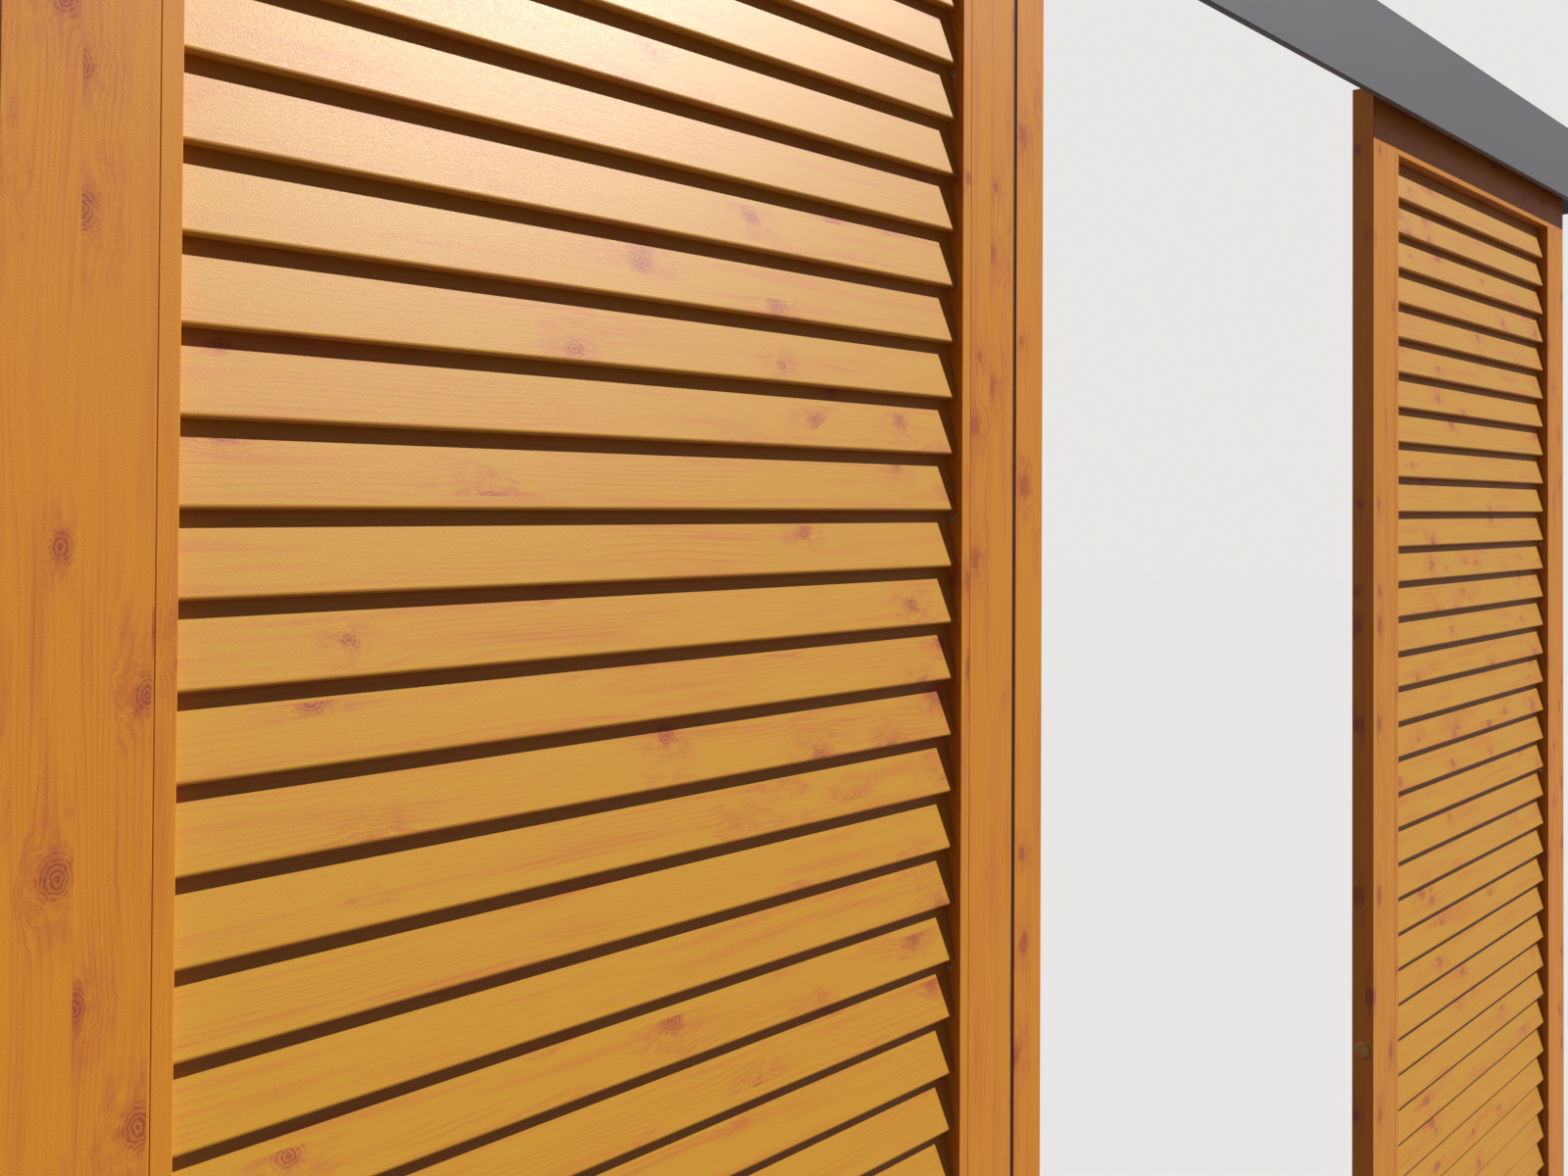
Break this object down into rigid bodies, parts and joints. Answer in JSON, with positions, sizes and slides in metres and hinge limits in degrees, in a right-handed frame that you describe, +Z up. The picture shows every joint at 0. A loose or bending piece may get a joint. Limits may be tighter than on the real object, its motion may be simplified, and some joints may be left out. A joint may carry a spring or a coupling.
{
  "type": "louvred sliding shutters",
  "caption": "Pair of aluminium louvred shutters in a wood-effect coat, hung on trolleys from a covered wall rail.",
  "frame": {"origin": "centre of the wall angle's back face, over the line where the two leaves meet", "axes": "+X along the wall to the right as seen from outside, +Y into the wall, +Z up"},
  "size_m": [4.244, 0.095, 2.428],
  "materials": {
    "wood_effect_coat": "satin powder coat with a printed pine grain",
    "grey_coat": "matt grey powder coat",
    "mill_aluminium": "mill finish extrusion",
    "zinc_plated_steel": "zinc plated",
    "black_rubber": "matt",
    "nylon": "moulded"
  },
  "bodies": {
    "wall_rail": {"wall_angle": "mill_aluminium", "running_track": "mill_aluminium", "track_screws": "zinc_plated_steel", "track_nuts": "zinc_plated_steel", "fascia_cover": "grey_coat", "fascia_screws": "zinc_plated_steel", "fascia_end_cap_left": "grey_coat", "fascia_end_cap_right": "grey_coat", "track_stops": "mill_aluminium", "stop_clamps": "zinc_plated_steel", "stop_screws": "zinc_plated_steel", "stop_buffers": "black_rubber", "guide_bracket_left": "zinc_plated_steel", "guide_bracket_right": "zinc_plated_steel", "guide_blocks": "nylon", "guide_screws": "zinc_plated_steel"},
    "left_leaf": {"left_gasket": "black_rubber", "left_closing_profile": "wood_effect_coat", "left_closing_screws": "zinc_plated_steel", "left_closing_end_caps": "black_rubber", "left_outer_stile": "wood_effect_coat", "left_meeting_stile": "wood_effect_coat", "left_top_rail": "wood_effect_coat", "left_bottom_rail": "wood_effect_coat", "left_outer_carrier": "wood_effect_coat", "left_meeting_carrier": "wood_effect_coat", "left_louvres": "wood_effect_coat", "left_corner_cleats": "mill_aluminium", "left_carrier_screws": "zinc_plated_steel", "left_hanger_plate_1": "zinc_plated_steel", "left_hanger_plate_2": "zinc_plated_steel", "left_plate_screws": "zinc_plated_steel", "left_hanger_bolts": "zinc_plated_steel", "left_lock_nuts": "zinc_plated_steel", "left_trolley_1": "zinc_plated_steel", "left_trolley_2": "zinc_plated_steel", "left_axles": "zinc_plated_steel"},
    "left_wheels_1": {"left_wheels_1": "nylon"},
    "left_wheels_2": {"left_wheels_2": "nylon"},
    "right_leaf": {"right_edge_cap": "wood_effect_coat", "right_outer_stile": "wood_effect_coat", "right_meeting_stile": "wood_effect_coat", "right_top_rail": "wood_effect_coat", "right_bottom_rail": "wood_effect_coat", "right_outer_carrier": "wood_effect_coat", "right_meeting_carrier": "wood_effect_coat", "right_louvres": "wood_effect_coat", "right_corner_cleats": "mill_aluminium", "right_carrier_screws": "zinc_plated_steel", "right_hanger_plate_1": "zinc_plated_steel", "right_hanger_plate_2": "zinc_plated_steel", "right_plate_screws": "zinc_plated_steel", "right_hanger_bolts": "zinc_plated_steel", "right_lock_nuts": "zinc_plated_steel", "right_trolley_1": "zinc_plated_steel", "right_trolley_2": "zinc_plated_steel", "right_axles": "zinc_plated_steel"},
    "right_wheels_1": {"right_wheels_1": "nylon"},
    "right_wheels_2": {"right_wheels_2": "nylon"}
  },
  "joints": [
    {"name": "left_leaf_slide", "type": "slide", "parent": "wall_rail", "child": "left_leaf", "axis": [1, 0, 0], "range_m": [-0.97, 0]},
    {"name": "right_leaf_slide", "type": "slide", "parent": "wall_rail", "child": "right_leaf", "axis": [1, 0, 0], "range_m": [-0.97, 0]},
    {"name": "left_wheels_1_spin", "type": "hinge", "parent": "left_leaf", "child": "left_wheels_1", "pos_m": [-0.9435, -0.0425, -0.0492], "axis": [0, 1, 0], "range_deg": [-5059, 0]},
    {"name": "left_wheels_2_spin", "type": "hinge", "parent": "left_leaf", "child": "left_wheels_2", "pos_m": [-0.2045, -0.0425, -0.0492], "axis": [0, 1, 0], "range_deg": [-5059, 0]},
    {"name": "right_wheels_1_spin", "type": "hinge", "parent": "right_leaf", "child": "right_wheels_1", "pos_m": [1.134, -0.0425, -0.0492], "axis": [0, 1, 0], "range_deg": [-5059, 0]},
    {"name": "right_wheels_2_spin", "type": "hinge", "parent": "right_leaf", "child": "right_wheels_2", "pos_m": [1.873, -0.0425, -0.0492], "axis": [0, 1, 0], "range_deg": [-5059, 0]}
  ],
  "couplings": [
    {"joint": "left_wheels_1_spin", "follows": "left_leaf_slide", "rad_per_m": 90.909},
    {"joint": "left_wheels_2_spin", "follows": "left_leaf_slide", "rad_per_m": 90.909},
    {"joint": "right_wheels_1_spin", "follows": "right_leaf_slide", "rad_per_m": 90.909},
    {"joint": "right_wheels_2_spin", "follows": "right_leaf_slide", "rad_per_m": 90.909}
  ]
}
